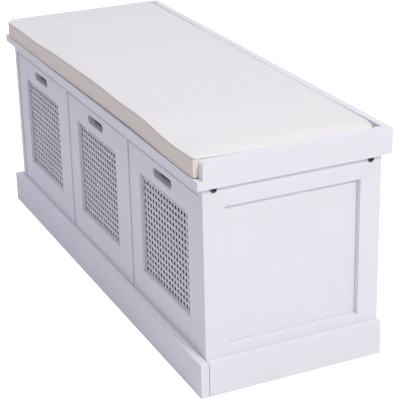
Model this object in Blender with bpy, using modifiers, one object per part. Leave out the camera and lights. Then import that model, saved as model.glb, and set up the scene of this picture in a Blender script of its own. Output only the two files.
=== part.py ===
"""Entryway bench with three drawers under a fixed seat and a loose boxed cushion.

Metres, +Z up. X runs along the bench, the drawers face -Y, and the origin is on the floor under the
middle of the bench's outer box.
"""

import math

import bmesh
import bpy
from mathutils import Matrix, Vector

# ---------------------------------------------------------------- driving sizes
BODY_LENGTH = 1.015  # outside of one side frame to outside of the other
BODY_DEPTH = 0.3478  # front of the side frames to their back
BODY_HEIGHT = 0.3904  # floor to the top of the side frames
BOARD = 0.016  # side frames, dividers and seat rails
DRAWERS = 3

# plinth, a skirting on three sides
PLINTH_HEIGHT = 0.067
PLINTH_FRONT_BOARD = 0.016
PLINTH_SIDE_BOARD = 0.0145
PLINTH_GAP = 0.0009  # the open joint between the front skirting and what stands behind it

# side frames
FRONT_STILE = 0.0406
REAR_STILE = 0.0422
TOP_RAIL = 0.0414
BOTTOM_RAIL = 0.065
BOTTOM_RAIL_TOP = 0.085  # above the floor
PANEL_RECESS = 0.0115  # outer face of the frame to the panel
PANEL_LAP = 0.006  # how far the panel reaches behind the frame

# inside of the body
DECK_TOP = 0.069  # the drawers' deck, above the floor
DECK_BOARD = 0.015
BACK_BOARD = 0.005
HEADER_HEIGHT = 0.0190
HEADER_DEPTH = 0.038

# seat
SEAT_FRONT_OVERHANG = 0.0144
SEAT_SIDE_OVERHANG = 0.0125
SEAT_BACK_OVERHANG = 0.014
SEAT_BOARD = 0.0154
SEAT_RAIL_HEIGHT = 0.049
BACK_RAIL_BOARD = 0.015
RAIL_NOTCH = 0.0104  # the side rails step back this far above the seat board
RAIL_CORNER = 0.0095  # radius at the side rails' front top corner
CORNER_STEPS = 8

# cushion
CUSHION_THICKNESS = 0.040
CUSHION_SETBACK = 0.0025  # behind the seat board's front edge
CUSHION_CLEARANCE = 0.0007
CUSHION_CORNER = 0.022
CUSHION_EDGE = 0.006

# drawer fronts
FRONT_BOARD = 0.015
FRONT_RECESS = 0.002  # behind the dividers' front edges
FRONT_SIDE_GAP = 0.0022
FRONT_TOP_GAP = 0.0034
FRONT_BOTTOM_GAP = 0.0010
WINDOW_SIDE_BORDER = 0.0498
WINDOW_TOP_BORDER = 0.0470
WINDOW_BOTTOM_BORDER = 0.0490
CANE_SETBACK = 0.0075  # front face to the cane
CANE_THICKNESS = 0.0025
CANE_LAP = 0.008  # how far the cane reaches behind the window's border
SLOT_WIDTH = 0.082
SLOT_HEIGHT = 0.0175
SLOT_CORNER = 0.008
SLOT_DROP = 0.0215  # front's top edge to the slot's middle

# drawer boxes
BOX_BOARD = 0.012
BOX_SIDE_GAP = 0.003  # to the bay on each side
BOX_SIDE_DROP = 0.045  # side's top edge below the front's
BOX_END_GAP = 0.008  # behind a closed drawer
BOX_BOTTOM = 0.004
BOX_BOTTOM_RAISE = 0.007  # under the bottom panel
GROOVE = 0.004

# connector bolts
BOLT_HEAD_R = 0.0057
BOLT_HEAD = 0.003  # the head stands on the side frame's face
BOLT_SHANK_R = 0.003
BOLT_LENGTH = 0.045
BOLT_DROP = 0.0062  # side frame's top to the bolt's axis
FRONT_BOLT_IN = 0.0204  # body's front to the front bolts
REAR_BOLT_IN = 0.0180  # back board to the rear bolts
BOLT_HOLE_CLEARANCE = 0.0004
BOLT_SOCKET_R = 0.0029
BOLT_SOCKET_DEPTH = 0.002
BOLT_STEPS = 32

# fits
GAP = 0.0003  # between pieces that touch
EDGE_R = 0.0008
EDGE_STEPS = 2
PAST = 0.004  # how far a cutter runs past the wood

# ---------------------------------------------------------------- levels and planes
HALF_DEPTH = (PLINTH_FRONT_BOARD + PLINTH_GAP + BODY_DEPTH + SEAT_BACK_OVERHANG) / 2
PLINTH_FRONT_Y = -HALF_DEPTH
BODY_FRONT_Y = PLINTH_FRONT_Y + PLINTH_FRONT_BOARD + PLINTH_GAP
BODY_BACK_Y = BODY_FRONT_Y + BODY_DEPTH
BODY_X = BODY_LENGTH / 2
INNER_X = BODY_X - BOARD
BACK_BOARD_Y = BODY_BACK_Y - BACK_BOARD  # front face of the back board
INSIDE_BACK_Y = BACK_BOARD_Y - GAP
DECK_BOTTOM = DECK_TOP - DECK_BOARD
HEADER_BOTTOM = BODY_HEIGHT - HEADER_HEIGHT

SEAT_FRONT_Y = BODY_FRONT_Y - SEAT_FRONT_OVERHANG
SEAT_BACK_Y = BODY_BACK_Y + SEAT_BACK_OVERHANG
SEAT_X = BODY_X + SEAT_SIDE_OVERHANG
SEAT_BOTTOM = BODY_HEIGHT + GAP
SEAT_TOP = SEAT_BOTTOM + SEAT_BOARD
RAIL_TOP = SEAT_BOTTOM + SEAT_RAIL_HEIGHT
SEAT_INNER_X = SEAT_X - BOARD
BACK_RAIL_Y = SEAT_BACK_Y - BACK_RAIL_BOARD  # front face of the back rail

BAY = (BODY_LENGTH - (DRAWERS + 1) * BOARD) / DRAWERS
BAY_PITCH = BAY + BOARD
BOLT_Z = BODY_HEIGHT - BOLT_DROP
BOLT_TOP_X = BODY_X + GAP + BOLT_HEAD  # the head's outer face
FRONT_BOLT_Y = BODY_FRONT_Y + FRONT_BOLT_IN
REAR_BOLT_Y = INSIDE_BACK_Y - REAR_BOLT_IN

# ---------------------------------------------------------------- scene
for old in list(bpy.data.objects):
    bpy.data.objects.remove(old, do_unlink=True)

bench = bpy.data.collections.new("entryway_bench")
cutters = bpy.data.collections.new("bench_cutters")
for collection in (bench, cutters):
    bpy.context.scene.collection.children.link(collection)


def material(name, colour, roughness, metallic=0.0):
    """A Principled material of one plain finish."""
    made = bpy.data.materials.new(name)
    made.use_nodes = True
    shader = made.node_tree.nodes["Principled BSDF"]
    shader.inputs["Base Color"].default_value = (*colour, 1.0)
    shader.inputs["Roughness"].default_value = roughness
    shader.inputs["Metallic"].default_value = metallic
    made.diffuse_color = (*colour, 1.0)
    return made


PAINT = (0.80, 0.80, 0.83)
RAW_BOARD = (0.16, 0.15, 0.15)
CANE = (0.72, 0.71, 0.73)
COVER = (0.78, 0.75, 0.72)
DARK_STEEL = (0.06, 0.04, 0.045)


def place(name, mesh, finish, centre=(0, 0, 0), parent=None, cutter=False):
    """Makes an object of a mesh, at a centre that is counted from its parent."""
    obj = bpy.data.objects.new(name, mesh)
    (cutters if cutter else bench).objects.link(obj)
    obj.location = centre
    obj.parent = parent
    if cutter:
        obj.hide_render = True
        obj.display_type = "WIRE"
    else:
        mesh.materials.append(material(name + "_finish", *finish))
    return obj


def rounded_edges(obj, radius=EDGE_R, steps=EDGE_STEPS, limit="ANGLE"):
    """A small round on every edge, as paint and sanding leave it, or only on the weighted ones."""
    bevel = obj.modifiers.new("rounded_edges", "BEVEL")
    bevel.width = radius
    bevel.segments = steps
    bevel.limit_method = limit
    bevel.angle_limit = math.radians(35)
    bevel.harden_normals = False


def block(
    name, low, high, finish=None, parent=None, cutter=False, edges=True, corner=None, joint_sides=()
):
    """A board from its low corner to its high one; corner=(axis, radius) rounds the edges along an axis.

    The edges of a face named in joint_sides, -1 for its -Y end and 1 for its +Y end, stay sharp.
    """
    low, high = Vector(low), Vector(high)
    size = high - low
    shape = bmesh.new()
    bmesh.ops.create_cube(shape, size=1.0, matrix=Matrix.Diagonal((*size, 1.0)))
    if corner:
        axis, radius = corner
        along = [
            edge
            for edge in shape.edges
            if abs((edge.verts[0].co - edge.verts[1].co).normalized()[axis]) > 0.9
        ]
        bmesh.ops.bevel(
            shape, geom=along, offset=radius, segments=CORNER_STEPS, profile=0.5, affect="EDGES"
        )
    if joint_sides:
        weight = shape.edges.layers.float.new("bevel_weight_edge")
        for edge in shape.edges:
            ends = [math.copysign(1, vert.co.y) for vert in edge.verts]
            edge[weight] = float(ends[0] != ends[1] or ends[0] not in joint_sides)
    bmesh.ops.recalc_face_normals(shape, faces=shape.faces)
    mesh = bpy.data.meshes.new(name)
    shape.to_mesh(mesh)
    shape.free()
    obj = place(name, mesh, finish, (low + high) / 2, parent, cutter)
    if edges and not cutter:
        rounded_edges(obj, limit="WEIGHT" if joint_sides else "ANGLE")
    return obj


def rod_cutter(name, start, length, radius, sides=BOLT_STEPS):
    """A rod along X for boring, from start towards +X."""
    shape = bmesh.new()
    bmesh.ops.create_cone(
        shape, cap_ends=True, segments=sides, radius1=radius, radius2=radius, depth=length
    )
    bmesh.ops.rotate(shape, verts=shape.verts, matrix=Matrix.Rotation(math.pi / 2, 3, "Y"))
    bmesh.ops.recalc_face_normals(shape, faces=shape.faces)
    mesh = bpy.data.meshes.new(name)
    shape.to_mesh(mesh)
    shape.free()
    return place(name, mesh, None, Vector(start) + Vector((length / 2, 0, 0)), cutter=True)


def cut(obj, *tools):
    """Takes each tool out of an object."""
    for tool in tools:
        taken = obj.modifiers.new("cut_" + tool.name, "BOOLEAN")
        taken.operation = "DIFFERENCE"
        taken.solver = "EXACT"
        taken.object = tool


def side_range(side, inner, outer):
    """The X limits, low first, of something from inner to outer on one side of the bench."""
    return sorted((side * inner, side * outer))


# ---------------------------------------------------------------- plinth
PLINTH_X = BODY_X + GAP + PLINTH_SIDE_BOARD
paint = (PAINT, 0.42)
raw = (RAW_BOARD, 0.6)

block(
    "plinth_front",
    (-PLINTH_X, PLINTH_FRONT_Y, 0),
    (PLINTH_X, PLINTH_FRONT_Y + PLINTH_FRONT_BOARD, PLINTH_HEIGHT),
    paint,
)
for label, side in (("left", -1), ("right", 1)):
    x_low, x_high = side_range(side, BODY_X + GAP, PLINTH_X)
    block(
        f"plinth_{label}",
        (x_low, BODY_FRONT_Y, 0),
        (x_high, BODY_BACK_Y, PLINTH_HEIGHT),
        paint,
    )

# ---------------------------------------------------------------- side frames
STILE_FRONT_IN = BODY_FRONT_Y + FRONT_STILE
STILE_REAR_IN = BODY_BACK_Y - REAR_STILE
TOP_RAIL_BOTTOM = BODY_HEIGHT - TOP_RAIL
PANEL_X = BODY_X - PANEL_RECESS
PANEL_Y = (STILE_FRONT_IN - PANEL_LAP, STILE_REAR_IN + PANEL_LAP)
PANEL_Z = (BOTTOM_RAIL_TOP - PANEL_LAP, TOP_RAIL_BOTTOM + PANEL_LAP)
HOLE_R = BOLT_SHANK_R + BOLT_HOLE_CLEARANCE

bores = {}
for label, side in (("left", -1), ("right", 1)):
    frame_x = side_range(side, INNER_X, BODY_X)
    rabbet_x = side_range(side, INNER_X - PAST, PANEL_X + GAP)
    rabbet = block(
        f"rabbet_{label}",
        (rabbet_x[0], PANEL_Y[0] - GAP, PANEL_Z[0] - GAP),
        (rabbet_x[1], PANEL_Y[1] + GAP, PANEL_Z[1] + GAP),
        cutter=True,
    )
    members = {
        "front_stile": (BODY_FRONT_Y, STILE_FRONT_IN, 0, BODY_HEIGHT),
        "rear_stile": (STILE_REAR_IN, BODY_BACK_Y, 0, BODY_HEIGHT),
        "top_rail": (STILE_FRONT_IN + GAP, STILE_REAR_IN - GAP, TOP_RAIL_BOTTOM, BODY_HEIGHT),
        "bottom_rail": (
            STILE_FRONT_IN + GAP,
            STILE_REAR_IN - GAP,
            BOTTOM_RAIL_TOP - BOTTOM_RAIL,
            BOTTOM_RAIL_TOP,
        ),
    }
    # where a stile meets a rail the paint runs over the joint, so those edges stay sharp
    joints = {"front_stile": (1,), "rear_stile": (-1,), "top_rail": (-1, 1), "bottom_rail": (-1, 1)}
    made = {}
    for member, (y_low, y_high, z_low, z_high) in members.items():
        made[member] = block(
            f"{label}_{member}",
            (frame_x[0], y_low, z_low),
            (frame_x[1], y_high, z_high),
            paint,
            joint_sides=joints[member],
        )
        cut(made[member], rabbet)
    panel_x = side_range(side, INNER_X + GAP, PANEL_X)
    block(
        f"{label}_panel",
        (panel_x[0], PANEL_Y[0], PANEL_Z[0]),
        (panel_x[1], PANEL_Y[1], PANEL_Z[1]),
        paint,
        edges=False,
    )
    for place_name, bolt_y in (("front", FRONT_BOLT_Y), ("rear", REAR_BOLT_Y)):
        bore_x = side_range(side, BODY_X - BOLT_LENGTH - PAST, BODY_X + PAST)
        bore = rod_cutter(
            f"bore_{label}_{place_name}",
            (bore_x[0], bolt_y, BOLT_Z),
            bore_x[1] - bore_x[0],
            HOLE_R,
        )
        bores[label, place_name] = bore
        cut(made[f"{place_name}_stile"], bore)

# ---------------------------------------------------------------- deck, back, headers and dividers
BOARD_X = INNER_X - GAP
block(
    "deck",
    (-BOARD_X, BODY_FRONT_Y, DECK_BOTTOM),
    (BOARD_X, INSIDE_BACK_Y, DECK_TOP),
    paint,
)
block(
    "back_board",
    (-BOARD_X, BACK_BOARD_Y, DECK_BOTTOM),
    (BOARD_X, BODY_BACK_Y, BODY_HEIGHT),
    paint,
)
headers = {
    "front": (BODY_FRONT_Y, BODY_FRONT_Y + HEADER_DEPTH),
    "rear": (INSIDE_BACK_Y - HEADER_DEPTH, INSIDE_BACK_Y),
}
housings = []
for name, (y_low, y_high) in headers.items():
    header = block(
        f"{name}_header", (-BOARD_X, y_low, HEADER_BOTTOM), (BOARD_X, y_high, BODY_HEIGHT), paint
    )
    cut(header, bores["left", name], bores["right", name])
    outside = PAST if name == "front" else GAP
    inside = GAP if name == "front" else PAST
    housings.append(
        block(
            f"housing_{name}",
            (-BOARD_X, y_low - outside, HEADER_BOTTOM - GAP),
            (BOARD_X, y_high + inside, BODY_HEIGHT + PAST),
            cutter=True,
        )
    )
for i in range(DRAWERS - 1):
    x_low = -BODY_X + (i + 1) * BAY_PITCH
    divider = block(
        f"divider_{i + 1}",
        (x_low, BODY_FRONT_Y, DECK_TOP + GAP),
        (x_low + BOARD, INSIDE_BACK_Y, BODY_HEIGHT),
        paint,
    )
    cut(divider, *housings)

# ---------------------------------------------------------------- seat
block(
    "seat_board",
    (-SEAT_INNER_X + GAP, SEAT_FRONT_Y, SEAT_BOTTOM),
    (SEAT_INNER_X - GAP, BACK_RAIL_Y - GAP, SEAT_TOP),
    paint,
)
block(
    "seat_back_rail",
    (-SEAT_INNER_X + GAP, BACK_RAIL_Y, SEAT_BOTTOM),
    (SEAT_INNER_X - GAP, SEAT_BACK_Y, RAIL_TOP),
    paint,
)


def rail_outline():
    """The side rail seen from its right side, as (y, z): a lip under the notch, then the rounded top corner."""
    notch_y = SEAT_FRONT_Y + RAIL_NOTCH
    points = [(SEAT_BACK_Y, SEAT_BOTTOM), (SEAT_BACK_Y, RAIL_TOP)]
    for step in range(CORNER_STEPS + 1):
        turn = math.pi / 2 * step / CORNER_STEPS
        points.append(
            (
                notch_y + RAIL_CORNER - RAIL_CORNER * math.sin(turn),
                RAIL_TOP - RAIL_CORNER + RAIL_CORNER * math.cos(turn),
            )
        )
    points += [(notch_y, SEAT_TOP), (SEAT_FRONT_Y, SEAT_TOP), (SEAT_FRONT_Y, SEAT_BOTTOM)]
    return points


def outline_board(name, outline, thickness, finish, x_middle):
    """A board sawn to an outline of (y, z) points, its thickness along X."""
    curve = bpy.data.curves.new(name, "CURVE")
    curve.dimensions = "2D"
    curve.fill_mode = "BOTH"
    curve.extrude = thickness / 2
    line = curve.splines.new("POLY")
    line.points.add(len(outline) - 1)
    for point, (y, z) in zip(line.points, outline):
        point.co = (y, z, 0, 1)
    line.use_cyclic_u = True
    obj = place(name, curve, finish, (x_middle, 0, 0))
    # the outline's own x and y become the bench's Y and Z
    obj.rotation_euler = (math.pi / 2, 0, math.pi / 2)
    weld = obj.modifiers.new("weld_caps", "WELD")
    weld.merge_threshold = 0.00001
    rounded_edges(obj)
    return obj


for label, side in (("left", -1), ("right", 1)):
    outline_board(
        f"seat_rail_{label}", rail_outline(), BOARD, paint, side * (SEAT_X - BOARD / 2)
    )

# ---------------------------------------------------------------- connector bolts


def bolt(label, place_name, side, bolt_y):
    """A flat-headed bolt through the side frame into the header's end, turned about its own axis."""
    profile = [
        (0, 0),
        (BOLT_HEAD_R - EDGE_R, 0),
        (BOLT_HEAD_R, -EDGE_R),
        (BOLT_HEAD_R, -BOLT_HEAD),
        (BOLT_SHANK_R, -BOLT_HEAD),
        (BOLT_SHANK_R, -BOLT_LENGTH + BOLT_SHANK_R),
        (0, -BOLT_LENGTH),
    ]
    name = f"bolt_{label}_{place_name}"
    mesh = bpy.data.meshes.new(name)
    points = [(x, 0, z) for x, z in profile]
    mesh.from_pydata(points, [(i, i + 1) for i in range(len(points) - 1)], [])
    obj = place(name, mesh, (DARK_STEEL, 0.45, 1.0), (side * BOLT_TOP_X, bolt_y, BOLT_Z))
    obj.rotation_euler = (0, side * math.pi / 2, 0)
    turned = obj.modifiers.new("turned", "SCREW")
    turned.axis = "Z"
    turned.steps = BOLT_STEPS
    turned.render_steps = BOLT_STEPS
    turned.use_merge_vertices = True
    turned.merge_threshold = 0.00005
    turned.use_normal_calculate = True
    turned.use_smooth_shade = True
    socket_x = side_range(side, BOLT_TOP_X - BOLT_SOCKET_DEPTH, BOLT_TOP_X + PAST)
    socket = rod_cutter(
        f"socket_{label}_{place_name}",
        (socket_x[0], bolt_y, BOLT_Z),
        socket_x[1] - socket_x[0],
        BOLT_SOCKET_R,
        sides=6,
    )
    cut(obj, socket)
    return obj


for label, side in (("left", -1), ("right", 1)):
    bolt(label, "front", side, FRONT_BOLT_Y)
    bolt(label, "rear", side, REAR_BOLT_Y)

# ---------------------------------------------------------------- drawers
FRONT_Y = BODY_FRONT_Y + FRONT_RECESS  # closed drawer's front face
FRONT_X = BAY / 2 - FRONT_SIDE_GAP
FRONT_Z = (FRONT_BOTTOM_GAP, HEADER_BOTTOM - DECK_TOP - FRONT_TOP_GAP)  # above the deck
WINDOW_X = FRONT_X - WINDOW_SIDE_BORDER
WINDOW_Z = (FRONT_Z[0] + WINDOW_BOTTOM_BORDER, FRONT_Z[1] - WINDOW_TOP_BORDER)
SLOT_Z = FRONT_Z[1] - SLOT_DROP
BOX_X = BAY / 2 - BOX_SIDE_GAP
BOX_INNER_X = BOX_X - BOX_BOARD
BOX_Y = (FRONT_BOARD + GAP, INSIDE_BACK_Y - FRONT_Y - BOX_END_GAP)
BOX_TOP = FRONT_Z[1] - BOX_SIDE_DROP
BOTTOM_Z = (BOX_BOTTOM_RAISE, BOX_BOTTOM_RAISE + BOX_BOTTOM)


def drawer(number, x_middle):
    """One drawer, built about an empty in the middle of its front face, at the deck."""
    tag = f"drawer_{number}"
    slide = bpy.data.objects.new(f"{tag}_slide", None)
    slide.location = (x_middle, FRONT_Y, DECK_TOP)
    bench.objects.link(slide)

    window = block(
        f"window_{number}",
        (-WINDOW_X, -PAST, WINDOW_Z[0]),
        (WINDOW_X, FRONT_BOARD + PAST, WINDOW_Z[1]),
        parent=slide,
        cutter=True,
    )
    slot = block(
        f"slot_{number}",
        (-SLOT_WIDTH / 2, -PAST, SLOT_Z - SLOT_HEIGHT / 2),
        (SLOT_WIDTH / 2, FRONT_BOARD + PAST, SLOT_Z + SLOT_HEIGHT / 2),
        parent=slide,
        cutter=True,
        corner=(1, SLOT_CORNER),
    )
    cane_bed = block(
        f"cane_bed_{number}",
        (-WINDOW_X - CANE_LAP - GAP, CANE_SETBACK - GAP, WINDOW_Z[0] - CANE_LAP - GAP),
        (WINDOW_X + CANE_LAP + GAP, FRONT_BOARD + PAST, WINDOW_Z[1] + CANE_LAP + GAP),
        parent=slide,
        cutter=True,
    )
    bottom_groove = block(
        f"bottom_groove_{number}",
        (-BOX_INNER_X - GROOVE, FRONT_BOARD - GROOVE, BOTTOM_Z[0] - GAP),
        (BOX_INNER_X + GROOVE, BOX_Y[1] + PAST, BOTTOM_Z[1] + GAP),
        parent=slide,
        cutter=True,
    )

    front = block(
        f"{tag}_front",
        (-FRONT_X, 0, FRONT_Z[0]),
        (FRONT_X, FRONT_BOARD, FRONT_Z[1]),
        paint,
        parent=slide,
        edges=False,
    )
    cut(front, window, slot)
    rounded_edges(front)
    cut(front, cane_bed, bottom_groove)

    block(
        f"{tag}_cane_panel",
        (-WINDOW_X - CANE_LAP, CANE_SETBACK, WINDOW_Z[0] - CANE_LAP),
        (WINDOW_X + CANE_LAP, CANE_SETBACK + CANE_THICKNESS, WINDOW_Z[1] + CANE_LAP),
        (CANE, 0.55),
        parent=slide,
        edges=False,
    )
    for label, side in (("left", -1), ("right", 1)):
        x_low, x_high = side_range(side, BOX_INNER_X, BOX_X)
        wall = block(
            f"{tag}_side_{label}",
            (x_low, BOX_Y[0], GAP),
            (x_high, BOX_Y[1], BOX_TOP),
            raw,
            parent=slide,
        )
        cut(wall, bottom_groove)
    block(
        f"{tag}_back",
        (-BOX_INNER_X + GAP, BOX_Y[1] - BOX_BOARD, BOTTOM_Z[1] + 2 * GAP),
        (BOX_INNER_X - GAP, BOX_Y[1], BOX_TOP),
        raw,
        parent=slide,
    )
    block(
        f"{tag}_bottom",
        (-BOX_INNER_X - GROOVE + GAP, FRONT_BOARD - GROOVE + GAP, BOTTOM_Z[0]),
        (BOX_INNER_X + GROOVE - GAP, BOX_Y[1], BOTTOM_Z[1]),
        raw,
        parent=slide,
        edges=False,
    )


for i in range(DRAWERS):
    drawer(i + 1, (i - (DRAWERS - 1) / 2) * BAY_PITCH)

# ---------------------------------------------------------------- cushion
cushion = block(
    "cushion",
    (
        -SEAT_INNER_X + CUSHION_CLEARANCE,
        SEAT_FRONT_Y + CUSHION_SETBACK,
        SEAT_TOP + GAP,
    ),
    (
        SEAT_INNER_X - CUSHION_CLEARANCE,
        BACK_RAIL_Y - CUSHION_CLEARANCE,
        SEAT_TOP + GAP + CUSHION_THICKNESS,
    ),
    (COVER, 0.9),
    edges=False,
    corner=(2, CUSHION_CORNER),
)
rounded_edges(cushion, CUSHION_EDGE, 3)

bpy.context.view_layer.update()
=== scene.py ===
# %% [markdown]
# # A white entryway bench with cane drawers and a boxed cushion
#
# The bench is painted fibreboard: panelled ends, a plinth, three drawers and a seat with rails on
# three sides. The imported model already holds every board, bolt and drawer at its real size, so this
# script loads it and leaves it where it is. What it adds is what the solids can't show: woven cane
# in the drawer fronts, a sewn and stuffed cushion, and the finish of each material.

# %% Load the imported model
import math

import bmesh
import bpy
import numpy as np
from mathutils import Matrix, Vector


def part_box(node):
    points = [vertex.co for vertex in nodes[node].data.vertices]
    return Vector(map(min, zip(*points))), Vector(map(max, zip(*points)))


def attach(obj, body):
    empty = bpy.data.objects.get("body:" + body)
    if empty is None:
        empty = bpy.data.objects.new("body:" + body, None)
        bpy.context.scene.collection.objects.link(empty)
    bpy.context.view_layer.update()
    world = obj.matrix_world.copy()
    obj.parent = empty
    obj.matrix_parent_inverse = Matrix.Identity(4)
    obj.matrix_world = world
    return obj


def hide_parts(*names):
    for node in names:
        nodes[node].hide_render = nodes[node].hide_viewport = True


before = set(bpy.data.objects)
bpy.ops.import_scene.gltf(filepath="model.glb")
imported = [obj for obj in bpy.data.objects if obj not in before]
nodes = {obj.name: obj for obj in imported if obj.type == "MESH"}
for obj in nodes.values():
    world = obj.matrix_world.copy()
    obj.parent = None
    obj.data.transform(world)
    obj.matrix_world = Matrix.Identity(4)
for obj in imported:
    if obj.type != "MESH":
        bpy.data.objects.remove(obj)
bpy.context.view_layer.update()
MM = 0.001

# %% [markdown]
# ## Helpers for colour and nodes
#
# Colours are easiest to choose as sRGB hex values, but a shader works with linear light, so one
# function turns the first into the second. Materials are trees of nodes. One small function adds a
# node with its settings and its links, whatever kind of node it is, which keeps each material short
# enough to read as a recipe.

# %% Colour and node helpers


def linear(hex_colour):
    """An sRGB hex colour as linear RGBA.

    Each channel c becomes ((c + 0.055) / 1.055) ** 2.4, or c / 12.92 when dark.
    """
    digits = hex_colour.lstrip("#")
    srgb = np.array([int(digits[i : i + 2], 16) for i in (0, 2, 4)]) / 255
    light = np.where(srgb > 0.04045, ((srgb + 0.055) / 1.055) ** 2.4, srgb / 12.92)
    return (*light.tolist(), 1.0)


def add(tree, kind, settings=None, links=None, **values):
    """Adds a node to a tree.

    settings are its own properties, values fill its inputs, and links join inputs to outputs.
    """
    node = tree.nodes.new(kind)
    for name, value in (settings or {}).items():
        setattr(node, name, value)
    for name, value in values.items():
        node.inputs[name.replace("_", " ")].default_value = value
    for name, output in (links or {}).items():
        tree.links.new(output, node.inputs[name])
    return node


def blank_material(name, **values):
    """A material with only its Principled shader, whose plain values are set on its own sockets."""
    made = bpy.data.materials.new(name)
    made.use_nodes = True
    shader = made.node_tree.nodes["Principled BSDF"]
    for socket, value in values.items():
        shader.inputs[socket.replace("_", " ")].default_value = value
    return made, made.node_tree, shader


def finish_nodes(material, names):
    """Gives CAD nodes a material in place of the one they were packed with."""
    for name in names:
        nodes[name].data.materials.clear()
        nodes[name].data.materials.append(material)


# %% [markdown]
# ## Camera
#
# The bench is seen from its front right corner with a long lens, which keeps its sides nearly
# parallel. A camera looks down its own -Z axis, so its matrix is built from three directions: where
# it looks, and what is right and up for it after a small roll.

# %% Place the camera
CAMERA_AT = np.array([2.3727, -1.0242, 1.2179])
CAMERA_LOOKS = np.array([-0.8412, 0.3823, -0.3824])
CAMERA_ROLL = math.radians(-1.38)
FOCAL_MM = 120.57
SENSOR_MM = 36.0


def camera_axes(looks, roll):
    """The camera's right, up and back.

    The level right is looks x Z, and it and up turn by the roll about the line of view.
    """
    looks = looks / np.linalg.norm(looks)
    level = np.cross(looks, (0, 0, 1))
    level /= np.linalg.norm(level)
    above = np.cross(level, looks)
    right = math.cos(roll) * level + math.sin(roll) * above
    return right, np.cross(right, looks), -looks


camera_data = bpy.data.cameras.new("studio_camera")
camera_data.lens = FOCAL_MM
camera_data.sensor_width = SENSOR_MM
camera = bpy.data.objects.new("studio_camera", camera_data)
bpy.context.scene.collection.objects.link(camera)
turn = Matrix(np.array(camera_axes(CAMERA_LOOKS, CAMERA_ROLL)).T.tolist())
camera.matrix_world = Matrix.Translation(CAMERA_AT.tolist()) @ turn.to_4x4()
bpy.context.scene.camera = camera
print("camera", [round(v, 3) for v in camera.location], "lens", FOCAL_MM)

# %% [markdown]
# ## Floor and light
#
# A product like this stands on white paper. Its right end is the brightest side, lit by a softbox
# that stands a little behind it and so leaves the drawers alone. They get only the room's light and
# what the floor throws back, which is why they look a third darker. A second softbox overhead lifts
# the seat and the ledges. To the camera the paper is pure white, but it sends back only what a white
# sheet would, so the thin shadows under the seat's overhang stay dark.

# %% Build the studio
FLOOR_HALF = 30.0
ROOM_LIGHT = 0.565
BENCH_MIDDLE = (0.0, 0.0, 0.3)
RIGHT_END = (0.5, 0.0, 0.3)


def flat_sheet(name, half, z):
    """A square sheet on z, made of one grid cell from -half to half."""
    corner = np.array([(-1, -1), (1, -1), (1, 1), (-1, 1)]) * half
    mesh = bpy.data.meshes.new(name)
    mesh.from_pydata(np.column_stack([corner, np.full(4, z)]).tolist(), [], [(0, 1, 2, 3)])
    obj = bpy.data.objects.new(name, mesh)
    bpy.context.scene.collection.objects.link(obj)
    return obj


paper, paper_tree, paper_shader = blank_material(
    "white_paper_floor",
    Base_Color=linear("#E7E7E8"),
    Roughness=0.9,
    Emission_Color=linear("#FFFFFF"),
)
seen = add(paper_tree, "ShaderNodeLightPath").outputs["Is Camera Ray"]
paper_tree.links.new(seen, paper_shader.inputs["Emission Strength"])
floor = flat_sheet("floor", FLOOR_HALF, 0.0)
floor.data.materials.append(paper)

world = bpy.data.worlds.new("studio_room")
bpy.context.scene.world = world
world.use_nodes = True
world.node_tree.nodes["Background"].inputs["Color"].default_value = linear("#E4E1F5")
world.node_tree.nodes["Background"].inputs["Strength"].default_value = ROOM_LIGHT


def softbox(name, at, aim, size, power, colour):
    """A square lamp of the given side that faces the aim point."""
    lamp = bpy.data.lights.new(name, "AREA")
    lamp.shape = "SQUARE"
    lamp.size = size
    lamp.energy = power
    lamp.color = linear(colour)[:3]
    obj = bpy.data.objects.new(name, lamp)
    obj.location = at
    obj.rotation_euler = (Vector(aim) - Vector(at)).to_track_quat("-Z", "Y").to_euler()
    bpy.context.scene.collection.objects.link(obj)
    return obj


softbox("softbox_right", at=(4.3, 0.62, 3.45), aim=RIGHT_END, size=0.7, power=106, colour="#FFFFF5")
softbox("softbox_overhead", at=(0.0, 0.0, 6.0), aim=BENCH_MIDDLE, size=5.0, power=138, colour="#FFFFFF")
bpy.context.scene.view_settings.view_transform = "Standard"
bpy.context.scene.view_settings.look = "None"

# %% [markdown]
# ## Painted fibreboard
#
# MDF is sanded and sprayed with a satin white lacquer. It has no grain. What the eye gets is a soft
# sheen, a very fine orange peel where the spray didn't quite flow out, and a slight difference of
# tone from one part of a board to the next. Noise on Object coordinates gives both at their real
# sizes, because every board is modelled in metres.

# %% Satin lacquer
ORANGE_PEEL = 1.8 * MM
PEEL_DEPTH = 0.02 * MM
TONE_PATCH = 160 * MM


def lacquer(name, light_tone, dark_tone, rough_low=0.36, rough_high=0.5):
    """White satin lacquer: two close tones in broad patches, and an orange-peel bump."""
    made, tree, shader = blank_material(name, IOR=1.5, Specular_IOR_Level=0.5)
    place = add(tree, "ShaderNodeTexCoord").outputs["Object"]
    patches = add(
        tree, "ShaderNodeTexNoise", {"noise_dimensions": "3D"}, {"Vector": place},
        Scale=1 / TONE_PATCH, Detail=2.0,
    )
    tone = add(tree, "ShaderNodeMix", {"data_type": "RGBA"}, {"Factor": patches.outputs["Fac"]})
    tone.inputs[6].default_value = linear(light_tone)
    tone.inputs[7].default_value = linear(dark_tone)
    tree.links.new(tone.outputs[2], shader.inputs["Base Color"])
    rough = add(
        tree, "ShaderNodeMapRange", None, {"Value": patches.outputs["Fac"]},
        To_Min=rough_low, To_Max=rough_high,
    )
    tree.links.new(rough.outputs["Result"], shader.inputs["Roughness"])
    peel = add(
        tree, "ShaderNodeTexNoise", None, {"Vector": place}, Scale=1 / ORANGE_PEEL, Detail=1.0
    )
    bump = add(
        tree, "ShaderNodeBump", None, {"Height": peel.outputs["Fac"]},
        Strength=0.6, Distance=PEEL_DEPTH,
    )
    tree.links.new(bump.outputs["Normal"], shader.inputs["Normal"])
    return made


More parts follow.
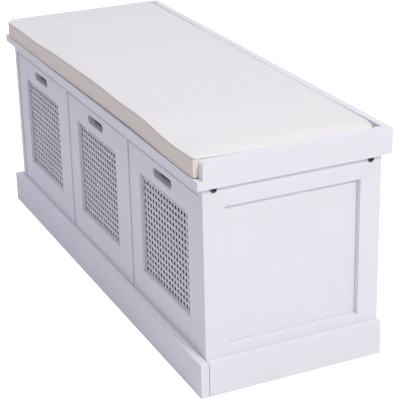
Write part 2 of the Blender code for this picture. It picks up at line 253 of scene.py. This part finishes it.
satin_lacquer = lacquer("satin_white_lacquer_on_mdf", "#EDEDF0", "#E7E7EA")
board_names = [
    name
    for name in nodes
    if not name.startswith(("drawer_", "bolt_", "cushion"))
    or name.endswith("_front") and name.startswith("drawer_")
]
finish_nodes(satin_lacquer, board_names)
print(len(board_names), "lacquered boards")

# %% [markdown]
# The stiles and rails of each end are joined before they are sprayed, so filler and paint close the
# joints between them. The boards stay separate pieces with a hair's width between them, and a narrow
# strip of the same lacquer stands in that width, a touch below the face.

# %% Fill the painted joints
FILLER_DEPTH = 1.5 * MM
FILLER_BELOW = 0.02 * MM
BOX_CORNERS = [(x, y, z) for x in (0, 1) for y in (0, 1) for z in (0, 1)]
BOX_FACES = [(0, 1, 3, 2), (4, 6, 7, 5), (0, 4, 5, 1), (2, 3, 7, 6), (0, 2, 6, 4), (1, 5, 7, 3)]


def new_piece(name, points, faces, material, smooth=True):
    """A mesh object at the origin from points in metres, with its faces turned outwards."""
    mesh = bpy.data.meshes.new(name)
    mesh.from_pydata(np.asarray(points).reshape(-1, 3).tolist(), [], faces)
    shape = bmesh.new()
    shape.from_mesh(mesh)
    bmesh.ops.recalc_face_normals(shape, faces=shape.faces)
    shape.to_mesh(mesh)
    shape.free()
    mesh.polygons.foreach_set("use_smooth", np.full(len(mesh.polygons), smooth))
    mesh.materials.append(material)
    obj = bpy.data.objects.new(name, mesh)
    bpy.context.scene.collection.objects.link(obj)
    return obj


def joint_strips(end, outward):
    """One strip per joint of an end frame, as wide as the gap beside the rail and as high as the rail."""
    strips = []
    for rail in ("top_rail", "bottom_rail"):
        rail_low, rail_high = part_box(f"{end}_{rail}")
        face = rail_high.x if outward > 0 else rail_low.x
        depths = sorted((face - outward * FILLER_DEPTH, face - outward * FILLER_BELOW))
        front_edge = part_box(f"{end}_front_stile")[1].y
        rear_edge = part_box(f"{end}_rear_stile")[0].y
        for y_low, y_high in ((front_edge, rail_low.y), (rail_high.y, rear_edge)):
            low = np.array([depths[0], y_low, rail_low.z])
            high = np.array([depths[1], y_high, rail_high.z])
            strips.append(low + np.array(BOX_CORNERS) * (high - low))
    return np.concatenate(strips)


for end, outward in (("left", -1), ("right", 1)):
    strip_points = joint_strips(end, outward)
    strip_faces = [
        [start + corner for corner in face]
        for start in range(0, len(strip_points), len(BOX_CORNERS))
        for face in BOX_FACES
    ]
    filler = new_piece(f"{end}_joint_filler", strip_points, strip_faces, satin_lacquer, smooth=False)
    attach(filler, "carcass")
    print(filler.name, len(filler.data.polygons), "faces")

# %% [markdown]
# ## Drawer boxes
#
# The boxes behind the fronts are particle board faced with grey melamine paper. It is flatter than
# the lacquer, with the faint dimpled texture of the press plate. Its grey is also painted shade: it
# is set dark so that the inside stays dim behind the open weave of the cane.

# %% Melamine-faced board, darkened as painted shade
# dark grey board: melamine, set darker as painted shade for the inside of the closed drawers
melamine = lacquer("grey_melamine_faced_board", "#6F6B6C", "#676364", rough_low=0.5, rough_high=0.6)
box_names = [
    name
    for name in nodes
    if name.startswith("drawer_") and not name.endswith(("_front", "_cane_panel"))
]
finish_nodes(melamine, box_names)
print(len(box_names), "melamine boards")

# %% [markdown]
# ## Connector bolts
#
# The bolts that pull the ends onto the headers have flat heads with a hexagon socket, plated dark
# brown. Plating over turned steel reflects as a metal, broken up by fine noise about the size of
# the turning marks.

# %% Dark-plated steel
TURNING_MARK = 0.8 * MM
bolt_steel, tree, shader = blank_material(
    "dark_plated_steel", Metallic=1.0, Base_Color=linear("#62585C")
)
place = add(tree, "ShaderNodeTexCoord").outputs["Object"]
grain = add(tree, "ShaderNodeTexNoise", None, {"Vector": place}, Scale=1 / TURNING_MARK, Detail=2.0)
rough = add(
    tree, "ShaderNodeMapRange", None, {"Value": grain.outputs["Fac"]}, To_Min=0.35, To_Max=0.6
)
tree.links.new(rough.outputs["Result"], shader.inputs["Roughness"])
bump = add(
    tree, "ShaderNodeBump", None, {"Height": grain.outputs["Fac"]}, Strength=0.3, Distance=0.02 * MM
)
tree.links.new(bump.outputs["Normal"], shader.inputs["Normal"])
bolt_names = [name for name in nodes if name.startswith("bolt_")]
finish_nodes(bolt_steel, bolt_names)
print(len(bolt_names), "bolts")

# %% [markdown]
# ## Cane webbing
#
# Cane webbing is woven from split rattan in six directions: pairs of strands run up and down and
# from side to side, and single strands cross on both diagonals. They leave a square grid of
# eight-sided holes. Holes cut in a sheet would look flat, so each strand is its own ribbon that
# really goes over and under its neighbours. In grid steps u and v, the pairs lie on whole numbers,
# and the diagonals on u + v and u - v = a whole number and a half, so they cross midway between
# the pairs' crossings.

# %% Ribbons over and under
CANE_PITCH = 12.7 * MM
PAIR_SPACING = 2.6 * MM
STRAND_WIDTH = 2.1 * MM
DIAGONAL_WIDTH = 1.7 * MM
STRAND_THICK = 0.6 * MM
PAIR_WAVE = 0.45 * MM  # how far the strands weave in and out
DIAGONAL_WAVE = 0.75 * MM
STEPS_PER_PITCH = 6
DIAGONAL_STEPS = 8  # a diagonal is longer between two crossings
SHORTEST_DIAGONAL = 0.5  # in grid steps: the frame covers shorter ends
TONE_SEED = 11
# a ribbon's section from its left edge to its right one: (across, in widths; out, in thicknesses)
RIBBON_SECTION = np.array([(-0.5, 0.0), (-0.3, 0.72), (0.0, 1.0), (0.3, 0.72), (0.5, 0.0)])


def ribbon(path, width, thickness):
    """A ribbon facing -Y along a path of (x, depth, z).

    Each point of the section lies its own share of the width across the path, and out of it.
    """
    along = np.gradient(path, axis=0)
    across = np.column_stack([along[:, 2], np.zeros(len(path)), -along[:, 0]])
    across /= np.linalg.norm(across, axis=1, keepdims=True)
    side = RIBBON_SECTION[None, :, 0, None] * width * across[:, None, :]
    out = RIBBON_SECTION[None, :, 1, None] * thickness * np.array([0, -1, 0])
    return path[:, None, :] + side + out


def tube_faces(rings, points, closed=False):
    """Quads that join each ring of points to the next, and a cap at each end of an open tube."""
    ring = np.arange(rings if closed else rings - 1)[:, None]
    point = np.arange(points)[None, :]
    following = (ring + 1) % rings
    corner = [
        ring * points + point,
        ring * points + (point + 1) % points,
        following * points + (point + 1) % points,
        following * points + point,
    ]
    faces = np.stack(corner, axis=-1).reshape(-1, 4)
    if closed:
        return faces.tolist()
    caps = [list(range(points))[::-1], [(rings - 1) * points + i for i in range(points)]]
    return faces.tolist() + caps


def cane_paths(low, high, middle):
    """The paths of all strands between two corners: straight in u and v, with a cosine for the depth."""
    u_low, u_high = ((value[0] - middle[0]) / CANE_PITCH + 0.5 for value in (low, high))
    v_low, v_high = ((value[2] - middle[2]) / CANE_PITCH for value in (low, high))
    paths = []

    def lay(u, v, depth, width):
        x = (u - 0.5) * CANE_PITCH + middle[0]
        z = v * CANE_PITCH + middle[2]
        paths.append((np.column_stack([x, middle[1] - depth, z]), width))

    half = PAIR_SPACING / 2 / CANE_PITCH
    reach = STRAND_WIDTH / 2 / CANE_PITCH
    v = np.linspace(v_low, v_high, int((v_high - v_low) * STEPS_PER_PITCH))
    u = np.linspace(u_low, u_high, int((u_high - u_low) * STEPS_PER_PITCH))
    for i in range(math.floor(u_low), math.ceil(u_high) + 1):
        for shift in (-half, half):
            if u_low + reach < i + shift < u_high - reach:
                depth = PAIR_WAVE * np.cos(np.pi * (v + i))
                lay(np.full_like(v, i + shift), v, depth, STRAND_WIDTH)
    for j in range(math.floor(v_low), math.ceil(v_high) + 1):
        for shift in (-half, half):
            if v_low + reach < j + shift < v_high - reach:
                depth = -PAIR_WAVE * np.cos(np.pi * (u + j))
                lay(u, np.full_like(u, j + shift), depth, STRAND_WIDTH)
    for slope in (1, -1):
        sums = [u + slope * v for u in (u_low, u_high) for v in (v_low, v_high)]
        for k in range(math.floor(min(sums)), math.ceil(max(sums))):
            # on the strand u + slope * v = k + 0.5, so v = slope * (k + 0.5 - u)
            ends = sorted((k + 0.5 - slope * v_low, k + 0.5 - slope * v_high))
            start, end = max(u_low, ends[0]), min(u_high, ends[1])
            if end - start < SHORTEST_DIAGONAL:
                continue
            u_here = np.linspace(start, end, max(4, int((end - start) * DIAGONAL_STEPS)))
            depth = slope * DIAGONAL_WAVE * np.cos(2 * np.pi * u_here)
            lay(u_here, slope * (k + 0.5 - u_here), depth, DIAGONAL_WIDTH)
    return paths


def woven_cane(name, low, high, material):
    """One panel of webbing, with each strand's own random tone kept as an attribute."""
    middle = (np.array(low) + np.array(high)) / 2
    points, faces, tones, sides, start = [], [], [], [], 0
    rng = np.random.default_rng(TONE_SEED)
    for path, width in cane_paths(low, high, middle):
        strand = ribbon(path, width, STRAND_THICK)
        rings, section = strand.shape[:2]
        points.append(strand.reshape(-1, 3))
        faces += [[start + i for i in face] for face in tube_faces(rings, section)]
        tones.append(np.full(rings * section, rng.random()))
        sides.append(np.tile(RIBBON_SECTION[:, 0], rings))
        start += rings * section
    obj = new_piece(name, np.concatenate(points), faces, material)
    for label, values in (("strand_tone", tones), ("strand_side", sides)):
        layer = obj.data.attributes.new(label, "FLOAT", "POINT")
        layer.data.foreach_set("value", np.concatenate(values).astype(np.float32))
    return obj


# %% [markdown]
# The cane is painted white, thinly, so the long fibres still show as fine grooves along each
# strand, and strands differ a little in tone. Its white is brighter than the fronts' lacquer: partly
# the paint, and partly a painted highlight for the light that the rounded strands catch. The tone
# and the position across the strand come from the mesh as attributes, because a strand may run in
# any direction.

# %% Painted cane, whitened as a painted highlight
FIBRES_ACROSS = 5
cane_paint_and_highlight, tree, shader = blank_material("painted_split_cane", Roughness=0.5, IOR=1.5)
strand_tone = add(tree, "ShaderNodeAttribute", {"attribute_name": "strand_tone"}).outputs["Fac"]
strand_side = add(tree, "ShaderNodeAttribute", {"attribute_name": "strand_side"}).outputs["Fac"]
tone = add(tree, "ShaderNodeMix", {"data_type": "RGBA"}, {"Factor": strand_tone})
# pure white, above the lacquer's white: the paint's own white plus a painted highlight on the strands
tone.inputs[6].default_value = linear("#FFFFFF")
tone.inputs[7].default_value = linear("#F4F2F4")
tree.links.new(tone.outputs[2], shader.inputs["Base Color"])
turns = add(tree, "ShaderNodeMath", {"operation": "MULTIPLY"}, {0: strand_side})
turns.inputs[1].default_value = 2 * math.pi * FIBRES_ACROSS
fibres = add(tree, "ShaderNodeMath", {"operation": "COSINE"}, {0: turns.outputs[0]})
bump = add(
    tree, "ShaderNodeBump", None, {"Height": fibres.outputs[0]}, Strength=0.4, Distance=0.05 * MM
)
tree.links.new(bump.outputs["Normal"], shader.inputs["Normal"])

CANE_MARGIN = 0.4 * MM
for number in (1, 2, 3):
    panel = f"drawer_{number}_cane_panel"
    low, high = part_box(panel)
    inset = Vector((CANE_MARGIN, 0, CANE_MARGIN))
    webbing = woven_cane(f"cane_webbing_{number}", low + inset, high - inset, cane_paint_and_highlight)
    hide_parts(panel)
    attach(webbing, f"drawer_{number}")
    print(webbing.name, len(webbing.data.polygons), "faces")

# %% [markdown]
# ## Cushion
#
# The cushion is a foam slab in a boxed cotton cover: a top and a bottom panel joined by a strip
# that runs round the edge. The seams hold the cloth in and the foam pushes it out between them. So
# the seams come first, as one outline, and the cloth is then inflated between them by simulation.
# A cushion that has been sat on is no longer straight, so the outline then settles: its front edges
# follow three slow waves.

# %% Outline and sag of the cushion
pad_low, pad_high = (np.array(corner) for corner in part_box("cushion"))
PAD_TOP_SEAM = 34.5 * MM  # above the seat board
CORNER_STEPS = 14
# semi-axes (along X, along Y) of each corner, anticlockwise from the front left one, at the seat
# board and at the top seam: the back corners have shrunk away from the rails, most of all at the top
LOW_CORNERS = np.array([(6, 6), (5, 5), (14, 5), (12, 8)]) * MM
TOP_CORNERS = np.array([(6, 6), (5, 5), (74, 19), (24, 16)]) * MM
CORNER_POWER = 1.25
PAD_SIDE_CLEARANCE = 0.3 * MM


def pad_outline(spacing, height, inset=0.0):
    """The cushion's outline as evenly spaced points: straight runs joined by flattened quarter ellipses.

    A corner point is (ax cos t ** p, ay sin t ** p) from the corner's centre, and p over 1 flattens it.
    """
    low = pad_low[:2] + PAD_SIDE_CLEARANCE + inset
    high = pad_high[:2] - PAD_SIDE_CLEARANCE - inset
    up = min(height / PAD_TOP_SEAM, 1.0) ** 2
    signs = [(-1, -1), (1, -1), (1, 1), (-1, 1)]
    starts = [math.pi, 1.5 * math.pi, 0.0, 0.5 * math.pi]
    runs = []
    for (sx, sy), axes, start in zip(signs, LOW_CORNERS + up * (TOP_CORNERS - LOW_CORNERS), starts):
        ax, ay = np.maximum(axes - inset, MM)
        turn_by = start + np.linspace(0, math.pi / 2, CORNER_STEPS)
        centre = np.array([(low, high)[sx > 0][0] - sx * ax, (low, high)[sy > 0][1] - sy * ay])
        cosine, sine = np.cos(turn_by), np.sin(turn_by)
        flat = [np.sign(value) * np.abs(value) ** CORNER_POWER for value in (cosine, sine)]
        runs.append(centre + np.column_stack([ax * flat[0], ay * flat[1]]))
    corners = np.concatenate(runs)
    loop = np.concatenate([corners, corners[:1]])
    length = np.concatenate([[0], np.cumsum(np.linalg.norm(np.diff(loop, axis=0), axis=1))])
    at = np.linspace(0, length[-1], int(length[-1] / spacing), endpoint=False)
    return np.column_stack([np.interp(at, length, loop[:, i]) for i in (0, 1)])


# the highs and lows of the front edge's waves, as (x, height of the wave), all in mm
TOP_SEAM_RISE = [(-510, -1), (-330, 0), (-130, 6), (40, 7), (190, 4), (275, 6), (410, 0), (510, 2)]
BOTTOM_EDGE_LIFT = [(-510, 0.5), (200, 3), (510, 1)]
FRONT_PUSH = [(-510, 2), (-260, 2.5), (190, 0), (450, 2.7), (510, 2)]
FRONT_REACH = 90 * MM
SIDE_SEAM_DROP = 2.6 * MM  # beside the rails the top seam lies below their tops
SIDE_SEAM_REACH = 22 * MM
BACK_SHARE = 0.35  # of the top seam's rise that is left at the back


def wave(x, turns):
    """A curve through its highs and lows: half a cosine joins each of them to the next."""
    at, level = np.array(turns).T * MM
    step = np.clip(np.searchsorted(at, x) - 1, 0, len(at) - 2)
    share = np.clip((x - at[step]) / (at[step + 1] - at[step]), 0, 1)
    return level[step] + (level[step + 1] - level[step]) * (1 - np.cos(np.pi * share)) / 2


def settle(points):
    """The cushion after use: its front edges rise, lift off the seat and lean out, each in its own wave.

    The waves hold at the front and fade behind it as exp(-(distance / reach) ** 2).
    """
    x, y, z = points[:, 0], points[:, 1], points[:, 2]
    up = np.clip((z - pad_low[2]) / PAD_TOP_SEAM, 0, 1.2)
    front = np.exp(-(((y - pad_low[1]) / FRONT_REACH) ** 2))
    rise, lift, push = (wave(x, turns) for turns in (TOP_SEAM_RISE, BOTTOM_EDGE_LIFT, FRONT_PUSH))
    beside = np.minimum.reduce([x - pad_low[0], pad_high[0] - x, pad_high[1] - y]) / SIDE_SEAM_REACH
    near_front = np.exp(-(((y - pad_low[1]) / SIDE_SEAM_REACH) ** 2))
    drop = SIDE_SEAM_DROP * np.exp(-(beside**2)) * (1 - near_front)
    moved = points.copy()
    moved[:, 1] -= push * near_front
    moved[:, 2] += up * (rise * (BACK_SHARE + (1 - BACK_SHARE) * front) - drop)
    moved[:, 2] += np.clip(1 - up, 0, 1) * lift * front
    return moved


# %% [markdown]
# The starting form is the outline carried up a short profile, slightly smaller than the finished
# pad. A voxel remesh gives the cloth even small faces. The seams and the bottom are pinned, the
# cloth swells under pressure for twenty frames, and no point may end more than a few millimetres
# from where it began, because the foam inside is a slab and not a balloon.

# %% Form and inflate the cover
PAD_VOXEL = 5.0 * MM
PAD_CAP = 6 * MM
FRONT_BULGE = 3.5 * MM  # how far the front strip may swell past the solid's front
RING_SPACING = 6 * MM
FINE_SPACING = 0.5 * MM
PIN_WIDTH = 3.4 * MM
SEAM_INSIDE = 8 * MM  # cloth this close to the outline can be part of the seam
CORNER_PIN = 5 * MM
PRESSURE = 4.0
FRAMES = 20
# (inset, height) of the starting form, mm
PAD_PROFILE = [(4, 0), (1, 0.3), (0, 1.5), (0, 5), (0, 31), (0.2, 33.8), (1.4, 35), (5, 35.6)]


def pad_form():
    """The outline carried up the profile, moved in by each inset, with its ends closed."""
    rings = []
    count = len(pad_outline(RING_SPACING, 0))
    for inset, height in PAD_PROFILE:
        ring = pad_outline(FINE_SPACING, height * MM, inset * MM)
        pick = np.linspace(0, len(ring), count, endpoint=False).astype(int)
        rings.append(np.column_stack([ring[pick], np.full(count, pad_low[2] + height * MM)]))
    return np.array(rings), tube_faces(len(rings), count)


def remeshed(obj, voxel):
    """The object's mesh with even voxel faces, applied."""
    remesh = obj.modifiers.new("even_faces", "REMESH")
    remesh.mode = "VOXEL"
    remesh.voxel_size = voxel
    remesh.use_smooth_shade = True
    apply_modifiers(obj)


def apply_modifiers(obj):
    """Bakes an object's modifiers into its mesh."""
    graph = bpy.context.evaluated_depsgraph_get()
    mesh = bpy.data.meshes.new_from_object(obj.evaluated_get(graph), depsgraph=graph)
    old = obj.data
    obj.modifiers.clear()
    obj.data = mesh
    bpy.data.meshes.remove(old)


def points_of(obj):
    """An object's points as one array."""
    flat = np.empty(len(obj.data.vertices) * 3, np.float32)
    obj.data.vertices.foreach_get("co", flat)
    return flat.reshape(-1, 3).astype(float)


def set_points(obj, points):
    """Puts an array of points back into an object."""
    obj.data.vertices.foreach_set("co", points.astype(np.float32).ravel())
    obj.data.update()


def inflate(obj, pinned):
    """Cloth under pressure with no gravity; pinned points stay, and the result is applied."""
    group = obj.vertex_groups.new(name="seams")
    for weight in np.unique(pinned):
        if weight > 0:
            group.add(np.flatnonzero(pinned == weight).tolist(), float(weight), "REPLACE")
    cloth = obj.modifiers.new("cotton", "CLOTH")
    cloth.settings.quality = 4
    cloth.settings.mass = 0.25
    cloth.settings.tension_stiffness = 12
    cloth.settings.compression_stiffness = 6
    cloth.settings.shear_stiffness = 5
    cloth.settings.bending_stiffness = 0.4
    cloth.settings.use_pressure = True
    cloth.settings.uniform_pressure_force = PRESSURE
    cloth.settings.effector_weights.gravity = 0
    cloth.settings.vertex_group_mass = "seams"
    cloth.collision_settings.use_collision = False
    cloth.point_cache.frame_start = 1
    cloth.point_cache.frame_end = FRAMES
    for number in range(1, FRAMES + 1):
        bpy.context.scene.frame_set(number)
    apply_modifiers(obj)
    obj.vertex_groups.clear()
    bpy.context.scene.frame_set(1)


def inside_box(points):
    """How far points lie inside the cushion's box, along X and along Y."""
    half, middle = (pad_high[:2] - pad_low[:2]) / 2, (pad_low[:2] + pad_high[:2]) / 2
    return half - np.abs(points[:, :2] - middle)


cover = new_piece("cushion_cover", *pad_form(), satin_lacquer)
remeshed(cover, PAD_VOXEL)
before = points_of(cover)
height = before[:, 2] - pad_low[2]
gaps = inside_box(before)
at_corner = gaps.max(axis=1) < CORNER_PIN
on_seam = (np.abs(height - PAD_TOP_SEAM) < PIN_WIDTH) & (gaps.min(axis=1) < SEAM_INSIDE)
pinned = np.where((height < PIN_WIDTH) | on_seam | at_corner, 1.0, 0.0)
inflate(cover, pinned)
after = points_of(cover)
moved = after - before
reach = np.linalg.norm(moved, axis=1, keepdims=True)
moved *= PAD_CAP * np.tanh(reach / PAD_CAP) / np.maximum(reach, 1e-9)
print("swelled by up to", round(float(reach.max() / MM), 1), "mm")
settled = settle(before + moved)
# the seat's rails and board hold the cushion on every side but the front
left, right = pad_low[0] + PAD_SIDE_CLEARANCE, pad_high[0] - PAD_SIDE_CLEARANCE
settled[:, 0] = np.clip(settled[:, 0], left, right)
settled[:, 1] = np.clip(settled[:, 1], pad_low[1] - FRONT_BULGE, pad_high[1] - PAD_SIDE_CLEARANCE)
settled[:, 2] = np.maximum(settled[:, 2], pad_low[2])
set_points(cover, settled)

# %% [markdown]
# ## Cotton and welts
#
# The cover is plain-woven cotton. The panels are white and the strip between them is cut from a
# warmer cloth. Its threads are about 0.6 mm apart, too fine to show from here, so the weave is drawn
# at 1.8 mm. Three sines, one along each axis, make the grid of threads on every face of the box,
# because one of them is constant on each face. Which cloth a point belongs to is stored as its
# distance past the seam, which stays straight between points where a face's own material would step.

# %% Cotton
THREAD = 1.8 * MM
THREAD_DEPTH = 0.10 * MM
SLUB = 14 * MM


def cotton(name, light_tone, dark_tone, strip_tone=None):
    """Plain-woven cotton: the sum of a sine along each axis lifts the threads, and noise gives slubs.

    With a strip tone, points whose past_seam is negative are the edge strip's cloth.
    """
    made, tree, shader = blank_material(
        name, Roughness=0.92, Specular_IOR_Level=0.25, Sheen_Weight=0.15, Sheen_Roughness=0.5
    )
    place = add(tree, "ShaderNodeTexCoord").outputs["Object"]
    slubs = add(tree, "ShaderNodeTexNoise", None, {"Vector": place}, Scale=1 / SLUB, Detail=4.0)
    tone = add(tree, "ShaderNodeMix", {"data_type": "RGBA"}, {"Factor": slubs.outputs["Fac"]})
    tone.inputs[6].default_value = linear(light_tone)
    tone.inputs[7].default_value = linear(dark_tone)
    cloth_tone = tone.outputs[2]
    if strip_tone:
        past = add(tree, "ShaderNodeAttribute", {"attribute_name": "past_seam"}).outputs["Fac"]
        side = add(
            tree, "ShaderNodeMapRange", None, {"Value": past},
            From_Min=-SEAM_BLUR, From_Max=SEAM_BLUR,
        )
        cloths = add(tree, "ShaderNodeMix", {"data_type": "RGBA"}, {"Factor": side.outputs["Result"]})
        cloths.inputs[6].default_value = linear(strip_tone)
        tree.links.new(cloth_tone, cloths.inputs[7])
        cloth_tone = cloths.outputs[2]
    tree.links.new(cloth_tone, shader.inputs["Base Color"])
    waves = add(tree, "ShaderNodeVectorMath", {"operation": "SCALE"}, {0: place})
    waves.inputs["Scale"].default_value = 2 * math.pi / THREAD
    sines = add(tree, "ShaderNodeVectorMath", {"operation": "SINE"}, {0: waves.outputs[0]})
    weave = add(tree, "ShaderNodeVectorMath", {"operation": "DOT_PRODUCT"}, {0: sines.outputs[0]})
    weave.inputs[1].default_value = (0.5, 0.5, 0.5)
    bump = add(
        tree, "ShaderNodeBump", None, {"Height": weave.outputs["Value"]},
        Strength=0.5, Distance=THREAD_DEPTH,
    )
    tree.links.new(bump.outputs["Normal"], shader.inputs["Normal"])
    return made


SEAM_BLUR = 0.3 * MM
STRIP_REACH = 4 * MM  # cloth this far inside the outline is always the panel's
cotton_cover = cotton("plain_woven_cotton_in_two_tones", "#E8E6E4", "#E3E1DF", "#EBE3D5")
welt_cotton = cotton("cotton_welt_cord", "#EDEBEA", "#E6E4E3")
strip_cotton = cotton("cotton_strip_cord", "#EBE3D5", "#E6DED0")
cover.data.materials.clear()
cover.data.materials.append(cotton_cover)
rounder = cover.modifiers.new("smooth_cloth", "SUBSURF")
rounder.levels = 1
rounder.render_levels = 1
apply_modifiers(cover)
cover.data.polygons.foreach_set("use_smooth", np.full(len(cover.data.polygons), True))
cloth_points = points_of(cover)
on_level = cloth_points.copy()
on_level[:, 2] = pad_low[2] + PAD_TOP_SEAM
above_seam = cloth_points[:, 2] - settle(on_level)[:, 2]
past_seam = np.maximum(above_seam, inside_box(cloth_points).min(axis=1) - STRIP_REACH)
layer = cover.data.attributes.new("past_seam", "FLOAT", "POINT")
layer.data.foreach_set("value", past_seam.astype(np.float32))
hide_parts("cushion")
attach(cover, "cushion")
print("cover", len(cover.data.polygons), "faces")

# %% [markdown]
# A welt is a cord in a folded strip of the same cotton, sewn into the seam, so half of it stands out
# of the cover. Each is a circle carried along its seam. The top one is a closed loop that follows
# the same outline and the same waves as the cover, and two short ones close the front corners. At
# the bottom the strip is turned under into a flat hem, an ellipse taller than it is thick. It gives
# the cushion a crisp lower edge, and a thin dark line shows where that stands a little off the seat.

# %% Welts
WELT_R = 1.25 * MM
HEM_TALL = 2.2  # the hem's height over its thickness
HEM_LIFT = 0.05 * MM  # under the hem
WELT_OUT = 0.35 * MM  # how far the corner welts' axis stands in front of the cloth
WELT_IN = 0.7  # in radii: how deep that axis lies in the corner
WELT_POINTS = 8
WELT_SPACING = 3 * MM
CORNER_FOOT = 1.6 * MM


def carried_ellipse(path, radius, closed, tall=1.0):
    """An ellipse round every point of a path, square to it: point + r (cos a side + tall sin a over)."""
    along = np.roll(path, -1, axis=0) - np.roll(path, 1, axis=0)
    if not closed:
        along = np.gradient(path, axis=0)
    along /= np.linalg.norm(along, axis=1, keepdims=True)
    guide = np.array([0, 0, 1.0]) if closed else np.array([0, 1.0, 0])
    side = np.cross(along, guide)
    side /= np.linalg.norm(side, axis=1, keepdims=True)
    over = np.cross(side, along)
    angle = np.linspace(0, 2 * np.pi, WELT_POINTS, endpoint=False)
    across = np.cos(angle)[None, :, None] * side[:, None, :]
    upwards = tall * np.sin(angle)[None, :, None] * over[:, None, :]
    return path[:, None, :] + radius * (across + upwards)


def add_welt(name, path, closed, cloth, tall=1.0):
    """A welt or hem along a path, in the given cloth, ridden as part of the cushion."""
    rings = carried_ellipse(path, WELT_R, closed, tall)
    welt = new_piece(name, rings, tube_faces(*rings.shape[:2], closed=closed), cloth)
    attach(welt, "cushion")
    print(welt.name, len(welt.data.polygons), "faces")


for name, height, cloth, tall in (
    ("top_welt", PAD_TOP_SEAM, welt_cotton, 1.0),
    ("bottom_hem", WELT_R * HEM_TALL + HEM_LIFT, strip_cotton, HEM_TALL),
):
    loop = pad_outline(WELT_SPACING, height, WELT_R)
    seam = settle(np.column_stack([loop, np.full(len(loop), pad_low[2] + height)]))
    add_welt(f"cushion_{name}", seam, True, cloth, tall)
for end, outward in (("left", -1), ("right", 1)):
    corner_axes = TOP_CORNERS[int(outward > 0)]
    diagonal = (1 - math.sqrt(0.5)) * corner_axes
    corner_x = pad_high[0] - PAD_SIDE_CLEARANCE - diagonal[0] - WELT_R * WELT_IN
    corner_y = pad_low[1] + diagonal[1] + WELT_R * WELT_IN - WELT_OUT
    heights = np.arange(CORNER_FOOT, PAD_TOP_SEAM, WELT_SPACING)
    foot = np.tile([outward * corner_x, corner_y], (len(heights), 1))
    path = np.column_stack([foot, pad_low[2] + heights])
    add_welt(f"cushion_{end}_corner_welt", settle(path), False, welt_cotton)
